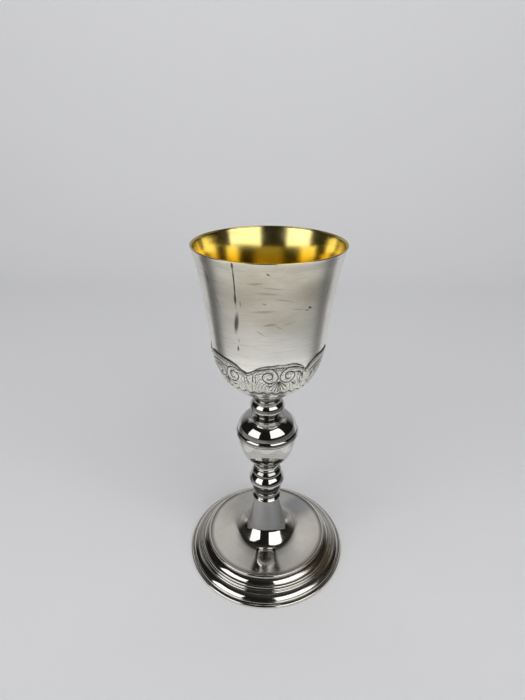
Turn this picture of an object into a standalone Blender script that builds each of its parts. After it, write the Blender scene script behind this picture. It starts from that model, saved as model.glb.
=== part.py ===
"""A silver chalice: a gilt-lined bowl held in a scalloped calyx, on a turned stem and a round hollow foot.

The named sizes are in millimetres and become metres when a mesh is made. +Z is up, and the origin is the
centre of the circle that the foot stands on.
"""

import math
from collections import namedtuple

import bmesh
import bpy

MM = 0.001
AXIS_MERGE = 0.00001

# Driving dimensions.
HEIGHT = 240.0
LIP_RADIUS = 45.6
FOOT_RADIUS = 59.2
JOINT_GAP = 0.3

# Bowl and calyx, from the lip down.
CUP_WALL = 1.1
CALYX_WALL = 0.4
CALYX_CLEARANCE = 0.15
CALYX_HOLE_RADIUS = 6.0
CUP_LIP = ((LIP_RADIUS, HEIGHT), (LIP_RADIUS, HEIGHT - 0.5))
CUP_SIDE = ((44.5, 235.0), (42.2, 225.0), (40.4, 214.0), (38.4, 200.0), (37.0, 188.0), (36.3, 182.0))
CALYX_SIDE = ((36.5, 180.0), (35.95, 176.0), (35.2, 171.5), (34.45, 168.0))
CALYX_BOWL = ((34.45, 168.0), (28.95, 155.0), (22.3, 147.5), (14.9, 142.9), (CALYX_HOLE_RADIUS, 140.5))
LOBES = 6
LOBE_TURN = math.radians(-20.5)
CUSP_LEVEL = 171.7
LOBE_RISE = 7.0
LOBE_FULLNESS = 2.8
LOBE_ROWS = 2

# Round mouldings of the stem. Each is part of an ellipse about (core, level), between two angles in degrees.
Moulding = namedtuple("Moulding", "core level reach rise top bottom steps")
UPPER_BEAD = Moulding(6.95, 129.8, 5.0, 4.9, 75, -68, 5)
NECK_RING = Moulding(7.8, 123.8, 0.9, 0.9, 90, -60, 3)
KNOP_DOME = Moulding(11.7, 111.6, 8.9, 9.6, 80, 0, 4)
KNOP_FILLET = Moulding(20.7, 109.0, 1.1, 1.4, 60, -60, 2)
UPPER_THREAD = Moulding(8.9, 77.6, 0.5, 0.6, 80, -80, 2)
LOWER_THREAD = Moulding(8.9, 74.4, 1.75, 1.9, 80, -60, 2)
LOWER_BEAD = Moulding(8.4, 66.5, 4.45, 5.4, 75, -45, 5)
COLLAR_THREAD = Moulding(8.6, 55.2, 0.6, 0.6, 80, -80, 2)

# Straight and hollowed stretches of the stem, as (radius, level).
NECK_COVE = ((8.0, 139.9), (7.7, 137.5), (7.9, 136.2))
NECK_GROOVE = ((7.4, 125.0),)
NECK_BASE = ((8.6, 122.4),)
KNOP_CAVETTO = ((8.6, 122.1), (10.4, 121.7), (12.2, 121.6))
KNOP_STEP = ((20.35, 111.4), (20.8, 111.1))
KNOP_BODY = ((20.9, 107.3), (20.2, 102.0), (18.8, 96.0), (16.4, 90.3), (12.4, 85.0), (9.2, 80.8), (9.0, 78.6))
COLLAR_BAND = ((10.3, 61.6), (10.3, 57.6), (9.1, 56.9), (9.0, 56.0))
COLLAR_GROOVE = ((8.6, 53.8),)
COLLAR_FLARE = ((9.1, 51.8), (10.4, 50.8), (10.5, 50.4), (8.6, 50.1))

# Foot, from the top of its stem down.
FOOT_WALL = 0.9
TRUMPET = (
    (8.6, 49.8),
    (9.2, 44.5),
    (11.1, 35.0),
    (12.55, 27.2),
    (14.2, 23.3),
    (17.0, 19.7),
    (20.2, 17.0),
    (23.6, 16.05),
)
PLATE = ((41.6, 14.2),)
PLATE_LIP = ((42.8, 14.6), (44.1, 14.3), (44.4, 13.2))
UPPER_OVOLO = Moulding(41.65, 7.46, 7.45, 5.85, 67, 28, 3)
FOOT_EDGE = ((49.6, 9.6), (49.95, 8.5), (51.2, 7.4), (52.4, 6.5))
LOWER_OVOLO = Moulding(50.6, 1.7, 6.3, 4.98, 71, 28, 3)
FOOT_FLANGE = ((57.1, 2.9), (58.4, 2.4), (FOOT_RADIUS, 1.3), (FOOT_RADIUS, 0.0))
STANDING_RING_RADIUS = 56.0
FOOT_INSIDE = (
    (STANDING_RING_RADIUS, 0.0),
    (55.3, 1.8),
    (47.6, 8.0),
    (44.6, 11.3),
    (41.8, 13.2),
    (25.0, 15.0),
)
TRUMPET_CAP_LEVEL = 46.0

# Facets: segments round the axis, and points on each stretch of a smooth outline.
BOWL_SEGMENTS = 36
FOOT_SEGMENTS = 36
KNOP_SEGMENTS = 28
COLLAR_SEGMENTS = 20
BOWL_STEPS = 2

SILVER = (0.72, 0.70, 0.65, 1.0)
GILT = (0.86, 0.60, 0.25, 1.0)
SATIN = 0.32
POLISHED = 0.12


def moulding_outline(moulding):
    """The points of a round moulding, from its top angle down to its bottom angle."""
    points = []
    for step in range(moulding.steps + 1):
        angle = math.radians(moulding.top + (moulding.bottom - moulding.top) * step / moulding.steps)
        radius = moulding.core + moulding.reach * math.cos(angle)
        level = moulding.level + moulding.rise * math.sin(angle)
        points.append((radius, level))
    return points


def smooth_outline(knots, steps):
    """A Catmull-Rom curve through the knots, with this many steps between each two."""
    padded = [knots[0], *knots, knots[-1]]
    points = []
    for before, start, end, after in zip(padded, padded[1:], padded[2:], padded[3:]):
        for step in range(steps):
            t = step / steps
            point = tuple(
                b + 0.5 * t * (c - a + t * (2 * a - 5 * b + 4 * c - d + t * (3 * (b - c) + d - a)))
                for a, b, c, d in zip(before, start, end, after)
            )
            points.append(point)
    points.append(tuple(knots[-1]))
    return points


def offset_outline(points, distance):
    """The outline moved inwards by the distance, square to itself at each point."""
    moved = []
    for index, (radius, level) in enumerate(points):
        before = points[max(index - 1, 0)]
        after = points[min(index + 1, len(points) - 1)]
        across = after[0] - before[0]
        along = after[1] - before[1]
        length = math.hypot(across, along)
        moved.append((radius + distance * along / length, level - distance * across / length))
    return moved


def calyx_bowl_outline():
    """The lower part of the calyx, which every lobe shares."""
    return smooth_outline(CALYX_BOWL, BOWL_STEPS)


def cup_outline():
    """The outside of the cup from the lip to the axis, stepped in just enough to sit inside the calyx."""
    hidden = offset_outline(list(CALYX_SIDE[:-1]) + calyx_bowl_outline(), CALYX_WALL + CALYX_CLEARANCE)
    seat = (0.0, hidden[-1][1])
    return [*CUP_LIP, *CUP_SIDE, *hidden, seat]


def upper_collar_outline():
    """The cove, bead and ring between the calyx and the knop."""
    outline = [(0.0, NECK_COVE[0][1]), *NECK_COVE]
    outline += moulding_outline(UPPER_BEAD)
    outline += NECK_GROOVE
    outline += moulding_outline(NECK_RING)
    outline += NECK_BASE
    return outline + [(0.0, NECK_BASE[-1][1])]


def knop_outline():
    """The knop: a low dome on a shoulder, over a body that tapers like an urn."""
    outline = [(0.0, KNOP_CAVETTO[0][1])]
    outline += KNOP_CAVETTO
    outline += moulding_outline(KNOP_DOME)
    outline += KNOP_STEP
    outline += moulding_outline(KNOP_FILLET)
    outline += KNOP_BODY
    return outline + [(0.0, KNOP_BODY[-1][1])]


def lower_collar_outline():
    """The rings, bead and stepped collar between the knop and the foot."""
    top = KNOP_BODY[-1][1] - JOINT_GAP
    outline = [(0.0, top), (UPPER_THREAD.core, top)]
    outline += moulding_outline(UPPER_THREAD)
    outline += moulding_outline(LOWER_THREAD)
    outline += moulding_outline(LOWER_BEAD)
    outline += COLLAR_BAND
    outline += moulding_outline(COLLAR_THREAD)
    outline += COLLAR_GROOVE
    outline += COLLAR_FLARE
    return outline + [(0.0, COLLAR_FLARE[-1][1])]


def foot_outline():
    """The foot: down its outside from the stem, across the standing ring and up its hollow inside."""
    outside = [(0.0, TRUMPET[0][1])]
    outside += TRUMPET
    outside += PLATE
    outside += PLATE_LIP
    outside += moulding_outline(UPPER_OVOLO)
    outside += FOOT_EDGE
    outside += moulding_outline(LOWER_OVOLO)
    outside += FOOT_FLANGE
    under_trumpet = offset_outline(TRUMPET, FOOT_WALL)
    climb = under_trumpet[-2:2:-1] + under_trumpet[1:2]
    cap = [(climb[-1][0], TRUMPET_CAP_LEVEL), (0.0, TRUMPET_CAP_LEVEL)]
    return outside + list(FOOT_INSIDE) + climb + cap


def lobe_edge_level(azimuth):
    """The level of the calyx's edge: low at each cusp and nearly flat across the middle of each lobe."""
    half_lobe = math.pi / LOBES
    from_cusp = abs((azimuth + half_lobe) % (2 * half_lobe) - half_lobe) / half_lobe
    return CUSP_LEVEL + LOBE_RISE * (1 - (1 - from_cusp) ** LOBE_FULLNESS)


def radius_at(outline, level):
    """The outline's radius at a level between its ends, for an outline that runs downwards."""
    for (radius_above, above), (radius_below, below) in zip(outline, outline[1:]):
        if below <= level <= above:
            share = (above - level) / (above - below)
            return radius_above + (radius_below - radius_above) * share
    return outline[-1][0]


def make_material(name, colour, roughness):
    material = bpy.data.materials.new(name)
    material.use_nodes = True
    shader = material.node_tree.nodes["Principled BSDF"]
    shader.inputs["Base Color"].default_value = colour
    shader.inputs["Metallic"].default_value = 1.0
    shader.inputs["Roughness"].default_value = roughness
    return material


def profile_mesh(name, outline):
    """A wire of the outline, standing in the XZ plane."""
    mesh = bpy.data.meshes.new(name)
    points = [(radius * MM, 0.0, level * MM) for radius, level in outline]
    edges = [(index, index + 1) for index in range(len(points) - 1)]
    mesh.from_pydata(points, edges, [])
    return mesh


def add_object(name, mesh, material, collection):
    piece = bpy.data.objects.new(name, mesh)
    mesh.materials.append(material)
    collection.objects.link(piece)
    return piece


def add_screw(piece, segments):
    screw = piece.modifiers.new("Turn", "SCREW")
    screw.steps = segments
    screw.render_steps = segments
    screw.use_merge_vertices = True
    screw.merge_threshold = AXIS_MERGE


def add_wall(piece, thickness):
    wall = piece.modifiers.new("Wall", "SOLIDIFY")
    wall.thickness = thickness * MM
    wall.offset = -1.0
    wall.use_even_offset = True
    return wall


def make_turned_piece(name, outline, segments, material, collection):
    piece = add_object(name, profile_mesh(name, outline), material, collection)
    add_screw(piece, segments)
    return piece


def make_cup(collection):
    """The bowl, open at the top, with its inner faces in the gilt material."""
    silver = make_material("cup_silver", SILVER, SATIN)
    piece = make_turned_piece("cup", cup_outline(), BOWL_SEGMENTS, silver, collection)
    piece.data.materials.append(make_material("cup_gilt", GILT, POLISHED))
    piece.rotation_euler.z = LOBE_TURN - math.pi / 2
    wall = add_wall(piece, CUP_WALL)
    wall.material_offset = 1
    wall.material_offset_rim = 1


def make_calyx(collection):
    """The shell under the bowl: a turned sheet whose upper rows are slid down to the scalloped edge."""
    bowl = calyx_bowl_outline()
    base_level = bowl[0][1]
    full_rise = CUSP_LEVEL + LOBE_RISE - base_level
    levels = [base_level + full_rise * row / LOBE_ROWS for row in range(LOBE_ROWS, 0, -1)]
    side = [(radius_at(CALYX_SIDE, level), level) for level in levels]
    shell = bmesh.new()
    wire = [shell.verts.new((radius * MM, 0.0, level * MM)) for radius, level in side + bowl]
    for upper, lower in zip(wire, wire[1:]):
        shell.edges.new((upper, lower))
    bmesh.ops.spin(
        shell,
        geom=shell.verts[:] + shell.edges[:],
        cent=(0.0, 0.0, 0.0),
        axis=(0.0, 0.0, 1.0),
        angle=2 * math.pi,
        steps=BOWL_SEGMENTS,
        use_merge=True,
    )
    side_verts = [vertex for vertex in shell.verts if vertex.co.z / MM > base_level + JOINT_GAP]
    for vertex in side_verts:
        azimuth = math.atan2(vertex.co.y, vertex.co.x)
        share = (vertex.co.z / MM - base_level) / full_rise
        level = base_level + share * (lobe_edge_level(azimuth) - base_level)
        radius = radius_at(CALYX_SIDE, level)
        vertex.co = (radius * MM * math.cos(azimuth), radius * MM * math.sin(azimuth), level * MM)
    bmesh.ops.recalc_face_normals(shell, faces=shell.faces[:])
    for face in shell.faces:
        face.smooth = True
    mesh = bpy.data.meshes.new("calyx")
    shell.to_mesh(mesh)
    shell.free()
    piece = add_object("calyx", mesh, make_material("calyx_silver", SILVER, SATIN), collection)
    piece.rotation_euler.z = LOBE_TURN - math.pi / 2
    add_wall(piece, CALYX_WALL)


def main():
    for old in list(bpy.data.objects):
        bpy.data.objects.remove(old, do_unlink=True)
    chalice = bpy.data.collections.new("chalice")
    bpy.context.scene.collection.children.link(chalice)
    make_cup(chalice)
    make_calyx(chalice)
    stem_pieces = (
        ("upper_collar", upper_collar_outline(), COLLAR_SEGMENTS),
        ("knop", knop_outline(), KNOP_SEGMENTS),
        ("lower_collar", lower_collar_outline(), COLLAR_SEGMENTS),
        ("foot", foot_outline(), FOOT_SEGMENTS),
    )
    for name, outline, segments in stem_pieces:
        silver = make_material(name + "_silver", SILVER, POLISHED)
        make_turned_piece(name, outline, segments, silver, chalice)


main()
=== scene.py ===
import math

import bpy
import numpy as np
from mathutils import Matrix, Vector


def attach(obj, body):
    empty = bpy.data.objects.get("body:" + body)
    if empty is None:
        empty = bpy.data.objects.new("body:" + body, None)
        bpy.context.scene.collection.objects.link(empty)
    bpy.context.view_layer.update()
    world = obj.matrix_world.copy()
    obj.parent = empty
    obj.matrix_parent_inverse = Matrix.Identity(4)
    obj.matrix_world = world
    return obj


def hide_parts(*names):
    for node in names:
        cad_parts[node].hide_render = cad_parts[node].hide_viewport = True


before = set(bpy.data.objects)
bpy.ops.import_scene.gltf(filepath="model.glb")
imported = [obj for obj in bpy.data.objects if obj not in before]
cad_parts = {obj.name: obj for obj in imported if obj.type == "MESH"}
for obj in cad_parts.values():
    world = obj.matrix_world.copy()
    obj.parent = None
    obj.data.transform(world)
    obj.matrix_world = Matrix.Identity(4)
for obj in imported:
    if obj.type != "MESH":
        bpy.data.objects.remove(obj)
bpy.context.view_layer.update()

mm = 0.001
fullTurn = 2 * math.pi


# outlines, in millimetres, as (radius, level)

def arcPoints(core, level, reach, rise, top, bottom, steps):
    points = []
    for step in range(steps + 1):
        angle = math.radians(top + (bottom - top) * step / steps)
        points.append((core + reach * math.cos(angle), level + rise * math.sin(angle)))
    return points


def curvePoints(knots, steps):
    # a smooth curve through the knots (Catmull-Rom)
    padded = [knots[0], *knots, knots[-1]]
    points = []
    for a, b, c, d in zip(padded, padded[1:], padded[2:], padded[3:]):
        for step in range(steps):
            t = step / steps
            point = [
                q + 0.5 * t * (r - p + t * (2 * p - 5 * q + 4 * r - s + t * (3 * (q - r) + s - p)))
                for p, q, r, s in zip(a, b, c, d)
            ]
            points.append(tuple(point))
    points.append(tuple(knots[-1]))
    return points


def offsetPoints(points, distance):
    # the outline moved inwards, square to itself
    moved = []
    for index, (radius, level) in enumerate(points):
        before = points[max(index - 1, 0)]
        after = points[min(index + 1, len(points) - 1)]
        across = after[0] - before[0]
        along = after[1] - before[1]
        length = math.hypot(across, along)
        moved.append((radius + distance * along / length, level - distance * across / length))
    return moved


# modelling helpers

def deselectAll():
    if bpy.context.object and bpy.context.object.mode != "OBJECT":
        bpy.ops.object.mode_set(mode="OBJECT")
    bpy.ops.object.select_all(action="DESELECT")


def turnPiece(name, outline, steps):
    # one vertex is drawn out along the outline and spun round the axis, as on a lathe
    deselectAll()
    bpy.ops.mesh.primitive_plane_add(size=mm)
    piece = bpy.context.object
    piece.name = name
    bpy.ops.object.mode_set(mode="EDIT")
    bpy.ops.mesh.select_all(action="SELECT")
    bpy.ops.mesh.merge(type="CENTER")
    bpy.ops.transform.translate(value=(outline[0][0] * mm, 0, outline[0][1] * mm))
    for start, end in zip(outline, outline[1:]):
        step = ((end[0] - start[0]) * mm, 0, (end[1] - start[1]) * mm)
        bpy.ops.mesh.extrude_region_move(TRANSFORM_OT_translate={"value": step})
    bpy.ops.mesh.select_all(action="SELECT")
    bpy.ops.mesh.spin(steps=steps, angle=fullTurn, center=(0, 0, 0), axis=(0, 0, 1))
    bpy.ops.mesh.select_all(action="SELECT")
    bpy.ops.mesh.remove_doubles(threshold=0.002 * mm)
    bpy.ops.mesh.select_all(action="SELECT")
    bpy.ops.mesh.normals_make_consistent(inside=False)
    bpy.ops.object.mode_set(mode="OBJECT")
    bpy.ops.object.shade_smooth()
    print("turned", name, len(piece.data.polygons), "faces")
    return piece


def pointsOf(piece):
    places = np.zeros(len(piece.data.vertices) * 3)
    piece.data.vertices.foreach_get("co", places)
    return places.reshape(-1, 3)


def movePoints(piece, places):
    piece.data.vertices.foreach_set("co", places.ravel())
    piece.data.update()


def paintPoints(piece, name, values):
    layer = piece.data.attributes.new(name, "FLOAT", "POINT")
    layer.data.foreach_set("value", np.asarray(values, np.float32))


def valleyOf(outline, reach):
    # how deep each outline point lies below the points on either side of it, in millimetres
    points = np.array(outline)
    run = np.concatenate([[0], np.cumsum(np.hypot(*np.diff(points, axis=0).T))])

    def at(place):
        return np.stack([np.interp(place, run, points[:, 0]), np.interp(place, run, points[:, 1])], 1)

    before, after = at(run - reach), at(run + reach)
    along = after - before
    along /= np.maximum(np.hypot(along[:, 0], along[:, 1]), 1e-6)[:, None]
    outward = np.stack([-along[:, 1], along[:, 0]], 1)
    return np.sum(((before + after) / 2 - points) * outward, axis=1)


def nearestOf(piece, outline):
    # for each vertex, the outline point that it was spun from
    places = pointsOf(piece) / mm
    radius = np.hypot(places[:, 0], places[:, 1])
    points = np.array(outline)
    nearest = np.zeros(len(places), int)
    for start in range(0, len(places), 20000):
        part = slice(start, start + 20000)
        gap = (radius[part, None] - points[:, 0]) ** 2 + (places[part, 2, None] - points[:, 1]) ** 2
        nearest[part] = gap.argmin(axis=1)
    return nearest


def anglesOf(piece):
    # degrees round the axis from the front, positive towards +X
    places = pointsOf(piece)
    return np.degrees(np.arctan2(places[:, 0], -places[:, 1]))


def grimeAndShadeOf(piece, outline, reach, deepest):
    # dark in the outline's hollows: partly old polish, partly painted shade
    return np.clip(valleyOf(outline, reach) / deepest, 0, 1)[nearestOf(piece, outline)]


def useMaterials(piece, *materials):
    piece.data.materials.clear()
    for material in materials:
        piece.data.materials.append(material)


def standFor(piece, node):
    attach(piece, "root")
    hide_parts(node)


# material helpers

def startMaterial(name):
    material = bpy.data.materials.new(name)
    material.use_nodes = True
    tree = material.node_tree
    return material, tree, tree.nodes["Principled BSDF"]


def addNode(tree, kind, **values):
    node = tree.nodes.new(kind)
    for key, value in values.items():
        if hasattr(node, key):
            setattr(node, key, value)
        else:
            node.inputs[key.replace("_", " ")].default_value = value
    return node


def objectPlace(tree):
    return addNode(tree, "ShaderNodeTexCoord").outputs["Object"]


def axesOf(tree, vector):
    parts = addNode(tree, "ShaderNodeSeparateXYZ")
    tree.links.new(vector, parts.inputs[0])
    return parts.outputs["X"], parts.outputs["Y"], parts.outputs["Z"]


def softSpot(tree, vector, place, size, turn):
    # 1 at the middle of an ellipse or ellipsoid, falling to 0 at its edge
    mapping = addNode(tree, "ShaderNodeMapping", vector_type="TEXTURE")
    for key, value in zip(("Location", "Rotation", "Scale"), (place, (0, 0, math.radians(turn)), size)):
        mapping.inputs[key].default_value = value
    tree.links.new(vector, mapping.inputs["Vector"])
    spot = addNode(tree, "ShaderNodeTexGradient", gradient_type="SPHERICAL")
    tree.links.new(mapping.outputs["Vector"], spot.inputs["Vector"])
    return spot.outputs["Fac"]


def spotNoise(tree, scale, detail, rough):
    # noise on object coordinates, with its own scale along each axis
    mapping = addNode(tree, "ShaderNodeMapping", Scale=scale)
    tree.links.new(objectPlace(tree), mapping.inputs["Vector"])
    noise = addNode(tree, "ShaderNodeTexNoise", Scale=1.0, Detail=detail, Roughness=rough)
    tree.links.new(mapping.outputs["Vector"], noise.inputs["Vector"])
    return noise.outputs["Fac"]


def rampOf(tree, value, dark, light):
    # noise as a blend of two colours, which runs over the middle of its range
    ramp = addNode(tree, "ShaderNodeValToRGB")
    for element, position, colour in zip(ramp.color_ramp.elements, (0.3, 0.7), (dark, light)):
        element.position = position
        element.color = colour
    tree.links.new(value, ramp.inputs["Fac"])
    return ramp.outputs["Color"]


def rangeOf(tree, value, fromLow, fromHigh, toLow, toHigh):
    node = addNode(tree, "ShaderNodeMapRange")
    for key, number in zip(("From Min", "From Max", "To Min", "To Max"), (fromLow, fromHigh, toLow, toHigh)):
        node.inputs[key].default_value = number
    tree.links.new(value, node.inputs["Value"])
    return node.outputs["Result"]


def mathOf(tree, operation, first, second):
    node = addNode(tree, "ShaderNodeMath", operation=operation)
    for socket, value in zip(node.inputs, (first, second)):
        if isinstance(value, (int, float)):
            socket.default_value = value
        else:
            tree.links.new(value, socket)
    return node.outputs[0]


def mixColours(tree, share, first, second):
    node = addNode(tree, "ShaderNodeMix", data_type="RGBA")
    for socket, value in zip((node.inputs[0], node.inputs[6], node.inputs[7]), (share, first, second)):
        if isinstance(value, (tuple, int, float)):
            socket.default_value = value
        else:
            tree.links.new(value, socket)
    return node.outputs[2]


def attributeOf(tree, name):
    return addNode(tree, "ShaderNodeAttribute", attribute_name=name).outputs["Fac"]


def bumpOf(tree, height, distance, strength):
    node = addNode(tree, "ShaderNodeBump", Strength=strength, Distance=distance)
    tree.links.new(height, node.inputs["Height"])
    return node.outputs["Normal"]


# camera

cameraSettings = {
    "place": (0.0, -0.26928, 0.30434),
    "tiltDown": 26.43,
    "turnLeft": 0.748,
    "roll": 0.236,
    "lens": 24.12,
}


def makeCamera():
    tilt = math.radians(cameraSettings["tiltDown"])
    turn = math.radians(cameraSettings["turnLeft"])
    roll = math.radians(cameraSettings["roll"])
    ahead = Vector((-math.sin(turn) * math.cos(tilt), math.cos(turn) * math.cos(tilt), -math.sin(tilt)))
    level = ahead.cross(Vector((0, 0, 1))).normalized()
    above = level.cross(ahead)
    right = math.cos(roll) * level + math.sin(roll) * above
    up = math.cos(roll) * above - math.sin(roll) * level
    turnMatrix = Matrix((right, up, -ahead)).transposed()
    bpy.ops.object.camera_add(location=cameraSettings["place"])
    camera = bpy.context.object
    camera.rotation_euler = turnMatrix.to_euler()
    camera.data.lens = cameraSettings["lens"]
    bpy.context.scene.camera = camera
    print("camera placed")


# floor, backdrop and light

studio = {
    "paperColour": (0.885, 0.888, 0.902, 1),
    "paperFront": -0.085,
    "paperBack": 0.62,
    "sweepFront": -3,
    "sweepDrop": 0.0004,  # how far it lies below the sheet
    "paperHalfWidth": 1.6,
    "sheetHalfWidth": 0.085,
    "sweepRadius": 0.35,
    "sweepTop": 1.5,
    "windowDistance": 1.6,
    "leftWindow": (-72, -30, 3, 45),
    "rightWindow": (14, 69, 14, 58),
    "windowLight": 1.6,
    "windowLift": 0.1,
    "fillLight": 1.02,
    "fillSize": 2.5,
    "fillPlace": (0, -1.0, 1.9),
    "fillTilt": 22,
    "roomDark": (0.012, 0.0115, 0.011, 1),
    "roomTop": (0.035, 0.033, 0.03, 1),
    "tableNear": (0.77, 0.77, 0.775, 1),
    "tableSide": (0.09, 0.09, 0.094, 1),
    "tableBehind": (0.54, 0.54, 0.55, 1),
    "tableLeft": (0.25, 0.245, 0.24, 1),
    "tableRight": (0.145, 0.149, 0.154, 1),
    "roomWall": (0.34, 0.34, 0.345, 1),
    "roomCeiling": (0.54, 0.535, 0.525, 1),
    "seenBehind": (0.58, 0.58, 0.60, 1),
    # where each part of the room starts and is at its full tone, as parts of a direction's unit length
    "topHeight": (0.8, 0.95),
    "wallBehind": (0.45, 0.78),
    "ceilingBehind": (0.28, 0.55),
    "ceilingHeight": (0.56, 0.66),
    "leftToRight": (-0.10, 0.04),
    "farHeight": (-0.66, -0.47),
    "farBehind": (0.55, 0.25),
    "stripNear": (0.06, 0.30),
    "stripFar": (0.66, 0.50),
    "stripHeight": (-0.78, -0.64),
    "stripAcross": (-0.4, 0.4, 0.95, 0.7),
    "tableBehindFrom": (0.52, 0.68),
    "horizon": (0.0, -0.06),
}


def paperMaterial():
    material, _, shader = startMaterial("palePaper")
    shader.inputs["Base Color"].default_value = studio["paperColour"]
    shader.inputs["Roughness"].default_value = 0.9
    shader.inputs["Specular IOR Level"].default_value = 0.1
    return material


def makePaper():
    # a sheet on the floor that curves up behind; metal mirrors only the part near the object
    width = studio["paperHalfWidth"]
    radius = studio["sweepRadius"]
    deselectAll()
    bpy.ops.mesh.primitive_plane_add(size=1)
    sweep = bpy.context.object
    sweep.name = "sweep"
    bpy.ops.object.mode_set(mode="EDIT")
    bpy.ops.mesh.select_all(action="SELECT")
    bpy.ops.mesh.merge(type="CENTER")
    bpy.ops.transform.translate(value=(-width, studio["sweepFront"], -studio["sweepDrop"]))
    move = (0, studio["paperBack"] - studio["sweepFront"], 0)
    bpy.ops.mesh.extrude_region_move(TRANSFORM_OT_translate={"value": move})
    steps = 24
    for step in range(steps):
        near = math.pi / 2 * step / steps
        far = math.pi / 2 * (step + 1) / steps
        move = (0, radius * (math.sin(far) - math.sin(near)), radius * (math.cos(near) - math.cos(far)))
        bpy.ops.mesh.extrude_region_move(TRANSFORM_OT_translate={"value": move})
    bpy.ops.mesh.extrude_region_move(TRANSFORM_OT_translate={"value": (0, 0, studio["sweepTop"] - radius)})
    bpy.ops.mesh.select_all(action="SELECT")
    bpy.ops.mesh.extrude_region_move(TRANSFORM_OT_translate={"value": (2 * width, 0, 0)})
    bpy.ops.object.mode_set(mode="OBJECT")
    bpy.ops.object.shade_smooth()
    sweep.visible_glossy = False
    useMaterials(sweep, paperMaterial())
    deselectAll()
    bpy.ops.mesh.primitive_plane_add(size=1)
    sheet = bpy.context.object
    sheet.name = "sheet"
    bpy.ops.object.mode_set(mode="EDIT")
    bpy.ops.mesh.select_all(action="SELECT")
    depth = studio["paperBack"] - studio["paperFront"]
    bpy.ops.transform.resize(value=(2 * studio["sheetHalfWidth"], depth, 1))
    bpy.ops.transform.translate(value=(0, studio["paperFront"] + depth / 2, 0))
    bpy.ops.object.mode_set(mode="OBJECT")
    useMaterials(sheet, bpy.data.materials["palePaper"])
    print("paper laid")


def makeWindow(name, left, right, low, high):
    # an upright panel of light that faces the object, given by the angles it fills
    distance = studio["windowDistance"]
    middle = math.radians((left + right) / 2)
    half = math.radians(right - left) / 2
    bottom = distance * math.tan(math.radians(low)) + studio["windowLift"]
    top = distance * math.tan(math.radians(high)) + studio["windowLift"]
    place = (distance * math.sin(middle), -distance * math.cos(middle), (bottom + top) / 2)
    bpy.ops.object.light_add(type="AREA", location=place, rotation=(math.pi / 2, 0, middle))
    light = bpy.context.object
    light.name = name
    light.data.shape = "RECTANGLE"
    light.data.size = 2 * distance * math.tan(half)
    light.data.size_y = top - bottom
    light.data.energy = studio["windowLight"] * math.pi * light.data.size * light.data.size_y
    light.visible_camera = False


def makeFill():
    # soft overhead light that metal doesn't mirror
    tilt = (math.radians(studio["fillTilt"]), 0, 0)
    bpy.ops.object.light_add(type="AREA", location=studio["fillPlace"], rotation=tilt)
    light = bpy.context.object
    light.name = "fill"
    light.data.shape = "SQUARE"
    light.data.size = studio["fillSize"]
    light.data.energy = studio["fillLight"] * math.pi * light.data.size ** 2
    light.visible_camera = False
    light.visible_glossy = False


def makeRoom():
    # what the metal mirrors past the sheet: a dark room, a dim table and wall, a pale ceiling behind
    world = bpy.data.worlds.new("room")
    bpy.context.scene.world = world
    world.use_nodes = True
    tree = world.node_tree
    shader = tree.nodes["Background"]
    aside, behind, height = axesOf(tree, addNode(tree, "ShaderNodeTexCoord").outputs["Generated"])
    overhead = rangeOf(tree, height, *studio["topHeight"], 0, 1)
    room = mixColours(tree, overhead, studio["roomDark"], studio["roomTop"])
    wall = rangeOf(tree, behind, *studio["wallBehind"], 0, 1)
    room = mixColours(tree, wall, room, studio["roomWall"])
    ceilingShare = mathOf(tree, "MULTIPLY", rangeOf(tree, behind, *studio["ceilingBehind"], 0, 1),
                          rangeOf(tree, height, *studio["ceilingHeight"], 0, 1))
    room = mixColours(tree, ceilingShare, room, studio["roomCeiling"])
    # the table is bright close by and behind, fades towards the horizon in front, and has a
    # darker strip on either side
    across = rangeOf(tree, aside, *studio["leftToRight"], 0, 1)
    far = mixColours(tree, across, studio["tableLeft"], studio["tableRight"])
    fade = mathOf(tree, "MULTIPLY", rangeOf(tree, height, *studio["farHeight"], 0, 1),
                  rangeOf(tree, behind, *studio["farBehind"], 0, 1))
    table = mixColours(tree, fade, studio["tableNear"], far)
    band = mathOf(tree, "MULTIPLY", rangeOf(tree, behind, *studio["stripNear"], 0, 1),
                  rangeOf(tree, behind, *studio["stripFar"], 0, 1))
    band = mathOf(tree, "MULTIPLY", band, rangeOf(tree, aside, *studio["stripAcross"]))
    strip = mathOf(tree, "MULTIPLY", band, rangeOf(tree, height, *studio["stripHeight"], 0, 1))
    table = mixColours(tree, strip, table, studio["tableSide"])
    rear = rangeOf(tree, behind, *studio["tableBehindFrom"], 0, 1)
    table = mixColours(tree, rear, table, studio["tableBehind"])
    room = mixColours(tree, rangeOf(tree, height, *studio["horizon"], 0, 1), room, table)
    cameraRay = addNode(tree, "ShaderNodeLightPath").outputs["Is Camera Ray"]
    seen = mixColours(tree, cameraRay, room, studio["seenBehind"])
    tree.links.new(seen, shader.inputs["Color"])
    print("room and lights set")


makeCamera()
makePaper()
makeWindow("leftWindow", *studio["leftWindow"])
makeWindow("rightWindow", *studio["rightWindow"])
makeFill()
makeRoom()
bpy.context.scene.view_settings.view_transform = "Standard"


# cup

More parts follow.
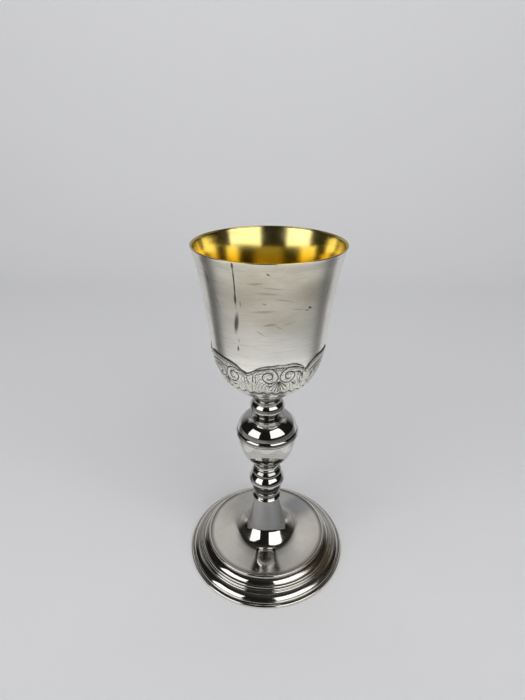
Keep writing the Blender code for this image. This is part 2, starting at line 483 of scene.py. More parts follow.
cup = {
    "side": [(45.6, 240.0), (45.1, 238.8), (44.2, 235.0), (42.0, 225.6), (38.95, 206.0), (36.9, 188.0)],
    "waist": [(36.9, 188.0), (36.2, 181.5), (35.8, 178.5), (35.3, 175.0), (34.5, 171.0), (33.1, 165.3)],
    "base": [(33.1, 165.3), (28.45, 155.3), (21.9, 148.0), (14.7, 143.5), (8.0, 141.3), (0.0, 141.0)],
    "wall": 1.1,
    "columns": 288,
    "gildedLip": 0.6,
    "gapShadowTone": (0.95, 0.5, 6),
    "gapShadowBand": (0.1, 0.42),  # how high the painted shadow of the gap lies over the calyx's edge, and its width
    # scale along each axis, detail and roughness of the noise
    "streaks": ((55, 55, 1400), 4.0, 0.6),
    "patches": ((45, 45, 90), 4.0, 0.55),
    "pits": ((700, 700, 1500), 3.0, 0.7),
    "goldCloud": ((40, 40, 60), 3.0, 0.5),
    "silverDull": (0.28, 0.20),
    "goldDull": (0.12, 0.21),
    "silver": ((0.85, 0.828, 0.74, 1), (0.95, 0.93, 0.86, 1)),
    "litSilverBelow": (1.0, 0.985, 0.91, 1),
    "brightFrom": (0.205, 0.186),
    "warmPatch": ((0.004, -0.042, 0.222), (0.040, 0.040, 0.030), 0),
    "warmSilver": (0.65, 0.60, 0.475, 1),
    "scratch": (0.52, 0.49, 0.41, 1),
    "pit": (0.38, 0.36, 0.30, 1),
    "mark": (0.05, 0.047, 0.04, 1),
    "shadow": (0.02, 0.018, 0.015, 1),
    "lowerGold": ((0.80, 0.53, 0.027, 1), (0.89, 0.625, 0.05, 1)),
    "upperGold": ((0.85, 0.70, 0.26, 1), (0.94, 0.79, 0.33, 1)),
    "paleFrom": (0.218, 0.232),
    # degrees round from the front, level, lean in degrees, half width, half length, depth of tone
    "marks": [
        (-24.9, 226.6, -2.4, 0.5, 16.5, 1.0),
        (-24.4, 237.6, -2.4, 0.85, 2.6, 0.9),
        (-24.6, 232.0, -2.4, 0.7, 3.0, 0.7),
        (-25.1, 225.6, -2.4, 0.6, 3.0, 0.6),
        (-25.5, 218.6, -2.4, 1.0, 4.6, 0.9),
        (-26.6, 203.8, -10.0, 1.9, 8.0, 0.85),
        (-26.9, 187.6, -6.0, 0.9, 2.2, 0.85),
        (-25.6, 193.0, 8.0, 0.5, 1.6, 0.5),
        (-21.5, 216.0, 2.0, 0.6, 2.6, 0.4),
        (34.0, 212.8, 64.0, 0.8, 1.6, 0.95),
        (31.5, 211.6, 80.0, 0.5, 2.2, 0.6),
        (-0.4, 234.0, 60.0, 0.6, 1.4, 0.75),
        (-3.0, 217.0, 70.0, 0.6, 1.6, 0.45),
        (1.5, 204.5, 98.0, 1.0, 5.0, 0.35),
        (3.0, 226.0, 84.0, 0.5, 8.0, 0.26),
        (-9.0, 228.5, 97.0, 0.8, 5.5, 0.3),
        (-1.0, 223.0, 88.0, 0.8, 8.0, 0.26),
        (-4.0, 212.4, 94.0, 1.1, 8.0, 0.3),
        (23.0, 213.0, 80.0, 0.5, 5.0, 0.26),
        (-6.0, 199.0, 60.0, 0.6, 4.5, 0.25),
        (8.0, 203.0, 62.0, 0.6, 5.0, 0.2),
        (12.0, 219.0, 80.0, 0.7, 6.5, 0.22),
        (17.0, 205.0, 100.0, 0.7, 5.0, 0.18),
        (-52.0, 227.0, 10.0, 1.6, 5.0, 0.4),
        (-44.0, 214.0, 15.0, 0.5, 9.0, 0.25),
        (52.0, 222.0, -12.0, 0.6, 8.0, 0.25),
        (118.0, 210.0, 25.0, 0.4, 8.0, 0.4),
        (-140.0, 222.0, -40.0, 0.4, 7.0, 0.4),
        (170.0, 200.0, 75.0, 0.5, 6.0, 0.35),
        (-100.0, 198.0, 60.0, 0.4, 5.0, 0.35),
    ],
}


def cupOutside():
    return curvePoints(cup["side"], 9)[:-1] + curvePoints(cup["waist"], 12)[:-1] + curvePoints(cup["base"], 7)


def cupOutline():
    outside = cupOutside()
    plain = curvePoints(cup["side"], 9)[:-1] + curvePoints(cup["waist"], 3)[:-1] + curvePoints(cup["base"], 6)
    inside = offsetPoints(plain, cup["wall"])
    half = cup["wall"] / 2
    lip = arcPoints(cup["side"][0][0] - half, cup["side"][0][1] - half, half, half, 180, 0, 10)
    outside = [point for point in outside if point[1] < cup["side"][0][1] - half]
    inside = [point for point in inside if point[1] < cup["side"][0][1] - half]
    inside[-1] = (0.0, inside[-1][1])
    return inside[::-1] + lip + outside


def wallMarks(tree):
    # long thin ellipses laid on the unrolled wall, in millimetres
    x, y, z = axesOf(tree, objectPlace(tree))
    angle = mathOf(tree, "ARCTAN2", x, mathOf(tree, "MULTIPLY", y, -1.0))
    place = addNode(tree, "ShaderNodeCombineXYZ")
    wallRadius = cup["side"][3][0]
    tree.links.new(mathOf(tree, "MULTIPLY", angle, wallRadius), place.inputs[0])
    tree.links.new(mathOf(tree, "MULTIPLY", z, 1 / mm), place.inputs[1])
    total = 0.0
    for around, level, lean, halfWidth, halfLength, tone in cup["marks"]:
        middle = (math.radians(around) * wallRadius, level, 0)
        spot = softSpot(tree, place.outputs[0], middle, (halfWidth, halfLength, 1), lean)
        total = mathOf(tree, "MAXIMUM", total, rangeOf(tree, spot, 0, 0.6, 0, tone))
    return total


def wornSilver():
    material, tree, shader = startMaterial("wornSilver")
    shader.inputs["Metallic"].default_value = 1.0
    streaks = spotNoise(tree, *cup["streaks"])
    patches = spotNoise(tree, *cup["patches"])
    pits = spotNoise(tree, *cup["pits"])
    bright = rampOf(tree, patches, *cup["silver"])
    place = objectPlace(tree)
    # paler towards the bottom of the wall, as painted light
    below = rangeOf(tree, axesOf(tree, place)[2], *cup["brightFrom"], 0, 0.9)
    bright = mixColours(tree, below, bright, cup["litSilverBelow"])
    glow = softSpot(tree, place, *cup["warmPatch"])
    uneven = rangeOf(tree, patches, 0.3, 0.6, 1, 0.7)
    warm = mathOf(tree, "MULTIPLY", rangeOf(tree, glow, 0, 0.5, 0, 1), uneven)
    bright = mixColours(tree, warm, bright, cup["warmSilver"])
    scratched = mixColours(tree, rangeOf(tree, streaks, 0.54, 0.70, 0, 0.34), bright, cup["scratch"])
    scratched = mixColours(tree, rangeOf(tree, pits, 0.62, 0.74, 0, 0.5), scratched, cup["pit"])
    marked = mixColours(tree, wallMarks(tree), scratched, cup["mark"])
    # painted shadow of the gap over the calyx's edge
    gapShadow = attributeOf(tree, "gapShadow")
    marked = mixColours(tree, rangeOf(tree, gapShadow, 0.1, 0.8, 0, 0.97), marked, cup["shadow"])
    tree.links.new(marked, shader.inputs["Base Color"])
    dull = rangeOf(tree, patches, 0.3, 0.7, *cup["silverDull"])
    tree.links.new(dull, shader.inputs["Roughness"])
    tree.links.new(bumpOf(tree, streaks, 0.00002, 0.5), shader.inputs["Normal"])
    return material


def gilding():
    # paler near the lip, where the light comes straight back
    material, tree, shader = startMaterial("gilding")
    shader.inputs["Metallic"].default_value = 1.0
    cloud = spotNoise(tree, *cup["goldCloud"])
    lower = rampOf(tree, cloud, *cup["lowerGold"])
    upper = rampOf(tree, cloud, *cup["upperGold"])
    pale = rangeOf(tree, axesOf(tree, objectPlace(tree))[2], *cup["paleFrom"], 0, 1)
    colour = mixColours(tree, pale, lower, upper)
    tree.links.new(colour, shader.inputs["Base Color"])
    tree.links.new(rangeOf(tree, cloud, 0.3, 0.7, *cup["goldDull"]), shader.inputs["Roughness"])
    return material


def makeCup():
    piece = turnPiece("goldLinedCup", cupOutline(), cup["columns"])
    places = pointsOf(piece)
    level = places[:, 2] / mm
    angles = anglesOf(piece)
    edgeLevel = levelAlong(edgeRun(angles))
    outer = nearestOf(piece, cupOutline()) >= len(cupOutline()) - len(cupOutside())
    # painted shadow of the gap over the calyx's edge, darkest at the sides
    rise, width = cup["gapShadowBand"]
    band = np.clip(1.5 - np.abs(level - edgeLevel - rise) / width, 0, 1)
    paintPoints(piece, "gapShadow", outer * edgeShade(angles, *cup["gapShadowTone"]) * band)
    useMaterials(piece, wornSilver(), gilding())
    lipLevel = (cup["side"][0][1] - cup["gildedLip"]) * mm
    for face in piece.data.polygons:
        middle = face.center
        outward = face.normal.x * middle.x + face.normal.y * middle.y
        inner = outward < 0 or (math.hypot(middle.x, middle.y) < 0.02 and face.normal.z > 0)
        face.material_index = 1 if inner or middle.z > lipLevel else 0
    standFor(piece, "cup")


# calyx

calyx = {
    "lobes": 6,
    "firstCusp": -20.5,
    "columns": 720,
    "wall": 0.4,
    "gap": 0.15,
    "foldLevel": 182.0,  # runs down the profile are measured from this level, in millimetres
    "perDegree": 0.611,
    # degrees from the lobe's first cusp, run down the profile to the scalloped edge
    "edge": [(0, 10.7), (5.5, 9.0), (10.5, 6.6), (15.5, 5.3), (20.5, 4.6), (25.5, 4.4), (30.5, 3.9),
             (35.5, 4.2), (40.5, 4.0), (45.5, 4.0), (50.5, 5.2), (55.5, 7.3), (60, 10.7)],
    # degrees round to the middle of a lobe's ornament, for the front lobe and for every second lobe from it
    "mirror": 10.9,
    "turnedMirror": 13.7,
    "turnedDrop": 2.4,  # how much lower the ornament hangs in those second lobes
    "chasedEnd": 27.5,
    "plainMargin": 1.5,
    "tips": 36,
    "rimShadowTone": (0.9, 0.55, 7),  # painted shadow along the edge: tone at the sides, how much paler in front, degrees to the palest
    "paleEdge": 26,  # degrees either side of that over which it is paler
    "tipReach": 0.9,
    "thinnedEdge": (0.12, 1.5),  # how much thinner the wall is at its edge, and over what distance
    "raised": 0.15,  # how far the chased ground stands over the plain shell
    "patches": ((260, 260, 260), 4.0, 0.6),
    "stipple": ((800, 800, 800), 3.0, 0.65),
    "grains": ((1500, 1500, 1500), 2.0, 0.6),
    "metallic": 0.78,
    "plainDull": 0.17,
    "chasedDull": 0.34,
    "ground": ((0.97, 0.955, 0.86, 1), (1.0, 0.995, 0.93, 1)),
    "plain": (0.88, 0.865, 0.82, 1),
    "speck": (0.20, 0.185, 0.145, 1),
    "dirtAndShade": (0.035, 0.03, 0.022, 1),
    # each line: half width, depth (below zero stands proud), then knots across and down in millimetres
    "mirrored": [
        (0.36, 0.26, [(-18.1, 10.3), (-15.7, 8.5), (-12.6, 7.0), (-9.6, 6.2), (-6.5, 5.8), (-4.4, 6.1),
                      (-2.8, 7.0), (-1.4, 9.0), (-0.6, 11.8), (-0.8, 13.8), (-1.8, 15.3), (-3.4, 16.4),
                      (-5.4, 16.9), (-7.0, 16.5), (-8.6, 15.2), (-9.6, 13.4), (-9.8, 12.2), (-9.4, 10.6),
                      (-8.3, 9.4), (-6.5, 8.7), (-5.2, 9.0), (-4.2, 10.0), (-3.8, 11.3), (-4.2, 12.9),
                      (-5.1, 13.8), (-6.2, 13.9), (-6.9, 13.2)]),
        (0.45, 0.16, [(-7.6, 8.6), (-6.2, 8.7), (-5.0, 9.2), (-4.1, 10.2), (-3.8, 11.6)]),
        (0.28, 0.14, [(-15.1, 9.4), (-11.4, 7.7), (-9.0, 7.2), (-6.5, 7.3), (-4.7, 8.3), (-3.2, 10.3)]),
        (0.45, -0.16, [(-16.6, 9.5), (-13.0, 7.6), (-9.6, 6.7), (-6.5, 6.5), (-4.3, 7.1), (-2.9, 8.6),
                       (-2.1, 10.6), (-2.0, 13.0), (-3.0, 14.8), (-5.0, 15.6), (-7.0, 15.0)]),
        (0.32, 0.17, [(-14.2, 11.6), (-12.5, 9.8), (-10.2, 9.3), (-8.8, 9.2)]),
        (0.36, 0.22, [(-15.2, 11.0), (-15.4, 12.3), (-15.7, 14.5), (-15.8, 16.4)]),
        (0.3, 0.18, [(-14.1, 12.4), (-13.8, 15.0), (-14.3, 17.5)]),
        (0.28, 0.13, [(-9.6, 16.3), (-11.5, 18.3), (-12.6, 21.3)]),
        (0.28, 0.15, [(-8.2, 17.3), (-9.8, 19.3), (-10.6, 22.5)]),
        (0.28, 0.13, [(-7.0, 18.2), (-8.0, 20.5), (-8.3, 23.5)]),
        (0.3, 0.14, [(-12.4, 15.6), (-13.8, 19.0), (-14.6, 23.0)]),
        (0.26, 0.12, [(-11.0, 13.4), (-12.4, 15.2), (-12.6, 17.2)]),
        (0.3, 0.14, [(-16.9, 17.0), (-16.6, 20.5), (-17.3, 25.5)]),
        (0.36, 0.22, [(-0.5, 15.6), (-2.3, 17.3), (-4.0, 19.4), (-5.6, 21.2)]),
        (0.32, 0.2, [(-0.3, 16.0), (-1.5, 18.4), (-2.9, 21.0), (-4.2, 23.8)]),
        (0.32, 0.2, [(-0.2, 16.3), (-0.8, 19.0), (-1.6, 22.3), (-2.0, 25.4)]),
        (0.5, -0.14, [(-1.0, 16.2), (-2.4, 18.8), (-3.7, 21.6), (-5.0, 23.4)]),
        (0.45, -0.14, [(-0.4, 16.8), (-1.4, 20.0), (-2.3, 23.0), (-2.9, 25.8)]),
        (0.28, 0.2, [(-1.5, 7.0), (-2.4, 5.6)]),
        (0.26, 0.16, [(1.6, 4.8), (-0.4, 7.0)]),
        (0.26, 0.16, [(2.6, 5.6), (0.7, 7.6)]),
    ],
    "single": [
        (0.36, 0.2, [(0.0, 16.6), (0.1, 20.0), (0.2, 25.6)]),
        (0.42, 0.24, [(-6.6, 17.1), (-5.2, 17.25), (-3.9, 17.1)]),
        (0.45, 0.26, [(-6.5, 19.8), (-5.4, 19.95), (-4.4, 19.8)]),
        (0.5, -0.12, [(-6.6, 18.4), (-5.2, 18.55), (-4.0, 18.4)]),
        (0.34, 0.2, [(10.6, 9.6), (13.0, 10.6), (14.8, 12.9), (15.2, 14.4)]),
        (0.4, 0.2, [(11.6, 11.6), (12.2, 12.6)]),
        (0.5, 0.3, [(15.0, 18.4), (15.2, 20.4)]),
        (0.4, 0.2, [(8.6, 17.4), (10.4, 19.2), (11.4, 20.4)]),
        (0.36, 0.3, [(-18.5, 16.6), (-18.35, 18.6)]),
        (0.36, 0.24, [(17.9, 17.0), (17.9, 18.4)]),
    ],
    # the groove and the bead along the edge: half width, depth, distance below the edge
    "edgeLines": [(0.3, 0.2, 1.45), (0.45, -0.14, 0.75)],
    # middle across and down, radius, height
    "domes": [(-6.4, 11.8, 2.1, 0.26), (6.4, 11.8, 2.1, 0.26)],
}


def calyxProfile():
    # the calyx's outer face before chasing, and the distance down it from the fold level
    points = np.array(offsetPoints(cupOutside(), -calyx["gap"] - calyx["wall"]))
    points[-1, 0] = 0.0
    run = np.concatenate([[0], np.cumsum(np.hypot(*np.diff(points, axis=0).T))])
    return points, run - np.interp(-calyx["foldLevel"], -points[:, 1], run)


def placeAlong(run):
    points, runs = calyxProfile()
    return np.interp(run, runs, points[:, 0]), np.interp(run, runs, points[:, 1])


def levelAlong(run):
    return placeAlong(run)[1]


def edgeRun(angles):
    # distance down the profile to the scalloped edge, for angles round from the front
    knots = np.array(curvePoints(calyx["edge"], 6))
    lobe = 360 / calyx["lobes"]
    turned = angles - calyx["firstCusp"]
    within = np.mod(turned, lobe)
    within = np.where(np.floor(turned / lobe) % 2 == 0, within, lobe - within)
    return np.interp(within, knots[:, 0], knots[:, 1])


def edgeShade(angles, tone, paler, palest):
    # how dark the painted shadow in the gap along the edge is: most at the sides, least near the front
    return tone - paler * np.exp(-((angles - palest) / calyx["paleEdge"]) ** 2)


def lineDistance(across, down, knots):
    curve = np.array(curvePoints(knots, 4))
    nearest = np.full(across.shape, 99.0)
    low, high = curve.min(0) - 1.6, curve.max(0) + 1.6
    close = (across > low[0]) & (across < high[0]) & (down > low[1]) & (down < high[1])
    x, y = across[close], down[close]
    best = np.full(x.shape, 99.0)
    for (x0, y0), (x1, y1) in zip(curve, curve[1:]):
        dx, dy = x1 - x0, y1 - y0
        share = np.clip(((x - x0) * dx + (y - y0) * dy) / max(dx * dx + dy * dy, 1e-9), 0, 1)
        best = np.minimum(best, np.hypot(x - x0 - share * dx, y - y0 - share * dy))
    nearest[close] = best
    return nearest


def chasing(angles, run):
    # height of the chased work over the plain shell, and how dark it is painted: dirt in its grooves, painted
    # shadow under its leaf tips and along its edge
    lobe = 360 / calyx["lobes"]
    number = np.floor((angles - calyx["firstCusp"]) / lobe)
    within = angles - lobe * number
    turned = number % 2 == 1
    middle = np.where(turned, calyx["turnedMirror"], calyx["mirror"])
    across = (within - middle) * np.where(turned, -1, 1) * calyx["perDegree"]
    drift = np.where(number == 0, 0.0, 1.0)
    across = across + drift * 0.22 * np.sin(0.31 * run + 2.1 * number)
    down = run + drift * 0.2 * np.sin(0.27 * across + 1.3 * number) - turned * calyx["turnedDrop"]
    height = np.zeros(angles.shape)
    dirtAndShade = np.zeros(angles.shape)

    def draw(halfWidth, depth, distance):
        nonlocal height, dirtAndShade
        shape = np.exp(-(distance / halfWidth) ** 2)
        height = height - depth * shape
        if depth > 0:
            dirtAndShade = np.maximum(dirtAndShade, shape * min(depth / 0.22, 1.0))

    for halfWidth, depth, knots in calyx["mirrored"]:
        draw(halfWidth, depth, lineDistance(across, down, knots))
        draw(halfWidth, depth, lineDistance(-across, down, knots))
    for halfWidth, depth, knots in calyx["single"]:
        draw(halfWidth, depth, lineDistance(across, down, knots))
    for middle, level, radius, rise in calyx["domes"]:
        height += rise * np.clip(1 - (np.hypot(across - middle, down - level) / radius) ** 2, 0, 1)
    edge = edgeRun(angles)
    for halfWidth, depth, below in calyx["edgeLines"]:
        draw(halfWidth, depth, run - edge - below)
    tips = calyx["chasedEnd"] + calyx["tipReach"] * np.cos(angles * math.pi / 180 * calyx["tips"]) - 0.5
    inside = np.clip((tips - run) / 0.7 + 0.5, 0, 1)
    height = height * inside + calyx["raised"] * inside
    dirtAndShade = dirtAndShade * inside
    # painted shadow under the ornament's leaf tips
    dirtAndShade = np.maximum(dirtAndShade, np.exp(-((run - tips - 0.1) / 0.8) ** 2))
    # painted shadow in the gap along the calyx's edge, darkest at the sides
    rimShadow = edgeShade(angles, *calyx["rimShadowTone"])
    dirtAndShade = np.maximum(dirtAndShade, rimShadow * np.exp(-((run - edge) / 0.3) ** 2))
    return height, dirtAndShade, inside


def chasedSilver():
    material, tree, shader = startMaterial("chasedSilver")
    shader.inputs["Metallic"].default_value = calyx["metallic"]
    chased = attributeOf(tree, "chased")
    dirtAndShade = attributeOf(tree, "dirtAndShade")
    patches = spotNoise(tree, *calyx["patches"])
    stipple = spotNoise(tree, *calyx["stipple"])
    matt = rampOf(tree, patches, *calyx["ground"])
    grains = spotNoise(tree, *calyx["grains"])
    specks = mathOf(tree, "MULTIPLY", rangeOf(tree, grains, 0.54, 0.62, 0, 0.8), chased)
    shaded = mathOf(tree, "MULTIPLY", rangeOf(tree, stipple, 0.54, 0.68, 0, 0.58), chased)
    colour = mixColours(tree, chased, calyx["plain"], matt)
    colour = mixColours(tree, mathOf(tree, "MAXIMUM", specks, shaded), colour, calyx["speck"])
    # darkened by dirt in the grooves, and by painted shadow along the edge and under the leaf tips
    colour = mixColours(tree, rangeOf(tree, dirtAndShade, 0.15, 0.75, 0, 0.95), colour, calyx["dirtAndShade"])
    tree.links.new(colour, shader.inputs["Base Color"])
    blend = addNode(tree, "ShaderNodeMix", data_type="FLOAT")
    tree.links.new(chased, blend.inputs[0])
    blend.inputs[2].default_value = calyx["plainDull"]
    blend.inputs[3].default_value = calyx["chasedDull"]
    tree.links.new(blend.outputs[0], shader.inputs["Roughness"])
    struck = mathOf(tree, "MULTIPLY", stipple, chased)
    tree.links.new(bumpOf(tree, struck, 0.00035, 0.6), shader.inputs["Normal"])
    return material


def makeCalyx():
    # rows down the outer face are close together where it is chased, and sparse below
    end = calyxProfile()[1][-1]
    chasedRows, plainRows, innerRows = 96, 22, 12
    share = np.concatenate([np.linspace(0, 1, chasedRows), 1 + np.linspace(0, 1, plainRows + 1)[1:]])
    innerShare = np.linspace(1.8, 0, innerRows)
    chasedRun = calyx["chasedEnd"] + calyx["plainMargin"]

    def runAt(part, edge):
        chased = edge + (chasedRun - edge) * part
        return np.where(part < 1, chased, chasedRun + (end - chasedRun) * (part - 1))

    nominal = 4.0  # the edge's run as spun, before each column is moved to its own
    inner = [(r - calyx["wall"], z) for r, z in zip(*placeAlong(runAt(innerShare, nominal)))]
    outer = list(zip(*placeAlong(runAt(share, nominal))))
    outline = [(float(r), float(z)) for r, z in inner + outer]
    piece = turnPiece("chasedCalyx", outline, calyx["columns"])
    rows = nearestOf(piece, outline)
    angles = anglesOf(piece)
    edge = edgeRun(angles)
    parts = np.concatenate([innerShare, share])[rows]
    run = runAt(parts, edge)
    height, dirtAndShade, chased = chasing(angles, run)
    outside = rows >= innerRows
    thinner, reach = calyx["thinnedEdge"]
    lift = np.where(outside, height, -calyx["wall"] + thinner * np.exp(-(run - edge) / reach))
    radius, level = placeAlong(run)
    ahead, behind = placeAlong(run + 0.15), placeAlong(run - 0.15)
    along = np.stack([ahead[0] - behind[0], ahead[1] - behind[1]], 1)
    along /= np.hypot(along[:, 0], along[:, 1])[:, None]
    radius = np.where(radius > 0.01, radius - lift * along[:, 1], radius)
    level = level + lift * along[:, 0]
    turn = np.radians(angles)
    movePoints(piece, np.stack([radius * np.sin(turn), -radius * np.cos(turn), level], 1) * mm)
    paintPoints(piece, "dirtAndShade", dirtAndShade * outside)
    paintPoints(piece, "chased", chased)
    useMaterials(piece, chasedSilver())
    standFor(piece, "calyx")
    print("calyx chased")


makeCup()
makeCalyx()


# stem

stem = {
    "columns": 128,
    "collarTop": [(0.0, 140.0), (7.7, 140.0), (7.7, 139.6)],
    "collarThread": (7.5, 138.6, 0.6, 0.7, 80, -80, 8),
    "collarCove": [(7.5, 137.6), (7.5, 136.2), (7.6, 135.5), (7.85, 134.95), (8.25, 134.5), (8.75, 134.15),
                   (9.3, 133.95)],
    "upperBead": [(9.8, 133.7), (10.35, 133.2), (10.9, 132.5), (11.35, 131.7), (11.65, 130.9), (11.85, 130.1),
                  (11.95, 129.2), (11.93, 128.4), (11.7, 127.6), (11.2, 127.0), (10.3, 126.6), (9.2, 126.35),
                  (7.9, 126.2)],
    "neckGroove": [(7.6, 125.7), (7.6, 124.9)],
    "neckRing": (7.9, 123.9, 0.75, 0.8, 85, -70, 10),
    "collarBase": [(7.9, 122.8), (8.1, 122.35), (0.0, 122.3)],
    "cavetto": [(8.3, 122.25), (8.6, 122.0), (9.8, 121.75), (11.2, 121.65), (11.8, 121.85), (12.3, 121.55)],
    "dome": [(13.9, 121.2), (15.6, 120.15), (17.2, 118.75), (18.6, 117.1), (19.6, 115.45), (20.2, 113.9),
             (20.55, 112.6), (20.6, 112.0)],
    "step": [(20.35, 111.75), (20.35, 111.5)],
    "fillet": [(20.75, 111.3), (21.2, 110.8), (21.55, 110.0), (21.75, 109.2), (21.8, 108.6), (21.65, 108.05),
               (21.2, 107.7)],
    "ledge": [(20.9, 107.55), (20.9, 107.3)],
    "urn": [(20.95, 107.0), (20.7, 105.0), (20.3, 102.5), (19.8, 100.0), (19.15, 97.5), (18.2, 94.3),
            (16.9, 91.2), (15.1, 88.2), (12.9, 85.5), (10.9, 83.4), (9.6, 81.8), (9.0, 80.3), (8.9, 78.65)],
    "upperThread": (8.9, 77.6, 0.4, 0.5, 80, -80, 8),
    "lowerThread": [(8.7, 76.7), (9.2, 76.2), (9.8, 75.5), (10.25, 74.8), (10.55, 74.1), (10.65, 73.5),
                    (10.55, 73.0), (10.2, 72.7)],
    "lowerBead": [(10.0, 72.0), (10.7, 71.25), (11.45, 70.3), (12.05, 69.3), (12.5, 68.4), (12.75, 67.6),
                  (12.85, 66.8), (12.85, 66.0), (12.7, 65.2), (12.3, 64.3), (11.6, 63.5), (10.6, 62.9)],
    "band": [(9.9, 62.5), (9.95, 61.9), (10.2, 61.5), (10.3, 57.9), (10.1, 57.3), (9.2, 56.9), (9.0, 56.6),
             (9.0, 56.0)],
    "bandThread": (8.6, 55.2, 0.6, 0.6, 80, -80, 8),
    "flare": [(8.6, 54.2), (8.6, 52.9), (8.75, 52.3), (9.1, 51.75), (9.65, 51.2), (10.3, 50.75), (10.5, 50.5),
              (10.4, 50.3), (8.7, 50.1)],
    "knopEnds": (122.25, 78.65),
    "lowerEnds": (78.4, 50.1),
    "cloud": ((120, 120, 160), 4.0, 0.55),
    "scratches": ((200, 200, 2600), 3.0, 0.6),
    "dull": (0.04, 0.09),
    "silver": ((0.62, 0.605, 0.565, 1), (0.72, 0.71, 0.68, 1)),
    "oldPolishAndShade": (0.05, 0.043, 0.035, 1),
    # levels between which the silver is darkened, partly as gathered old polish and partly as painted shade,
    # and how dark it is
    "soiledAndShaded": [(135.2, 141.0, 0.5), (122.6, 127.0, 0.8), (72.8, 79.5, 0.3), (56.4, 63.4, 1.0)],
}


def polishedSilver():
    material, tree, shader = startMaterial("polishedSilver")
    shader.inputs["Metallic"].default_value = 1.0
    cloud = spotNoise(tree, *stem["cloud"])
    colour = rampOf(tree, cloud, *stem["silver"])
    # old polish and painted shade in hollows and bands darken the silver
    grimeAndShade = rangeOf(tree, attributeOf(tree, "grimeAndShade"), 0.1, 0.8, 0, 0.9)
    colour = mixColours(tree, grimeAndShade, colour, stem["oldPolishAndShade"])
    tree.links.new(colour, shader.inputs["Base Color"])
    polish = rangeOf(tree, cloud, 0.3, 0.7, *stem["dull"])
    dull = mathOf(tree, "ADD", polish, mathOf(tree, "MULTIPLY", grimeAndShade, 0.2))
    tree.links.new(dull, shader.inputs["Roughness"])
    scratches = spotNoise(tree, *stem["scratches"])
    tree.links.new(bumpOf(tree, scratches, 0.00001, 0.4), shader.inputs["Normal"])
    return material


def makeStem():
    silver = polishedSilver()
    collar = stem["collarTop"] + arcPoints(*stem["collarThread"]) + curvePoints(stem["collarCove"], 3)
    collar += curvePoints(stem["upperBead"], 4) + stem["neckGroove"]
    collar += arcPoints(*stem["neckRing"]) + stem["collarBase"]
    knopTop, knopFoot = stem["knopEnds"]
    knop = [(0.0, knopTop)] + curvePoints(stem["cavetto"], 4) + curvePoints(stem["dome"], 5) + stem["step"]
    knop += curvePoints(stem["fillet"], 4) + stem["ledge"] + curvePoints(stem["urn"], 5) + [(0.0, knopFoot)]
    lowerTop, lowerFoot = stem["lowerEnds"]
    lower = [(0.0, lowerTop), (9.0, lowerTop)] + arcPoints(*stem["upperThread"])
    lower += curvePoints(stem["lowerThread"], 3) + curvePoints(stem["lowerBead"], 4)
    lower += stem["band"] + arcPoints(*stem["bandThread"]) + stem["flare"]
    lower += [(0.0, lowerFoot)]
    for name, outline, node in (
        ("beadedNeck", collar, "upper_collar"),
        ("urnKnop", knop, "knop"),
        ("beadedCollar", lower, "lower_collar"),
    ):
        piece = turnPiece(name, outline, stem["columns"])
        grimeAndShade = grimeAndShadeOf(piece, outline, 0.8, 0.3)
        level = pointsOf(piece)[:, 2] / mm
        for low, high, depth in stem["soiledAndShaded"]:
            grimeAndShade = np.maximum(grimeAndShade, depth * np.clip(2.5 * np.minimum(level - low, high - level), 0, 1))
        paintPoints(piece, "grimeAndShade", grimeAndShade)
        useMaterials(piece, silver)
        standFor(piece, node)
    print("stem turned")


makeStem()


# foot

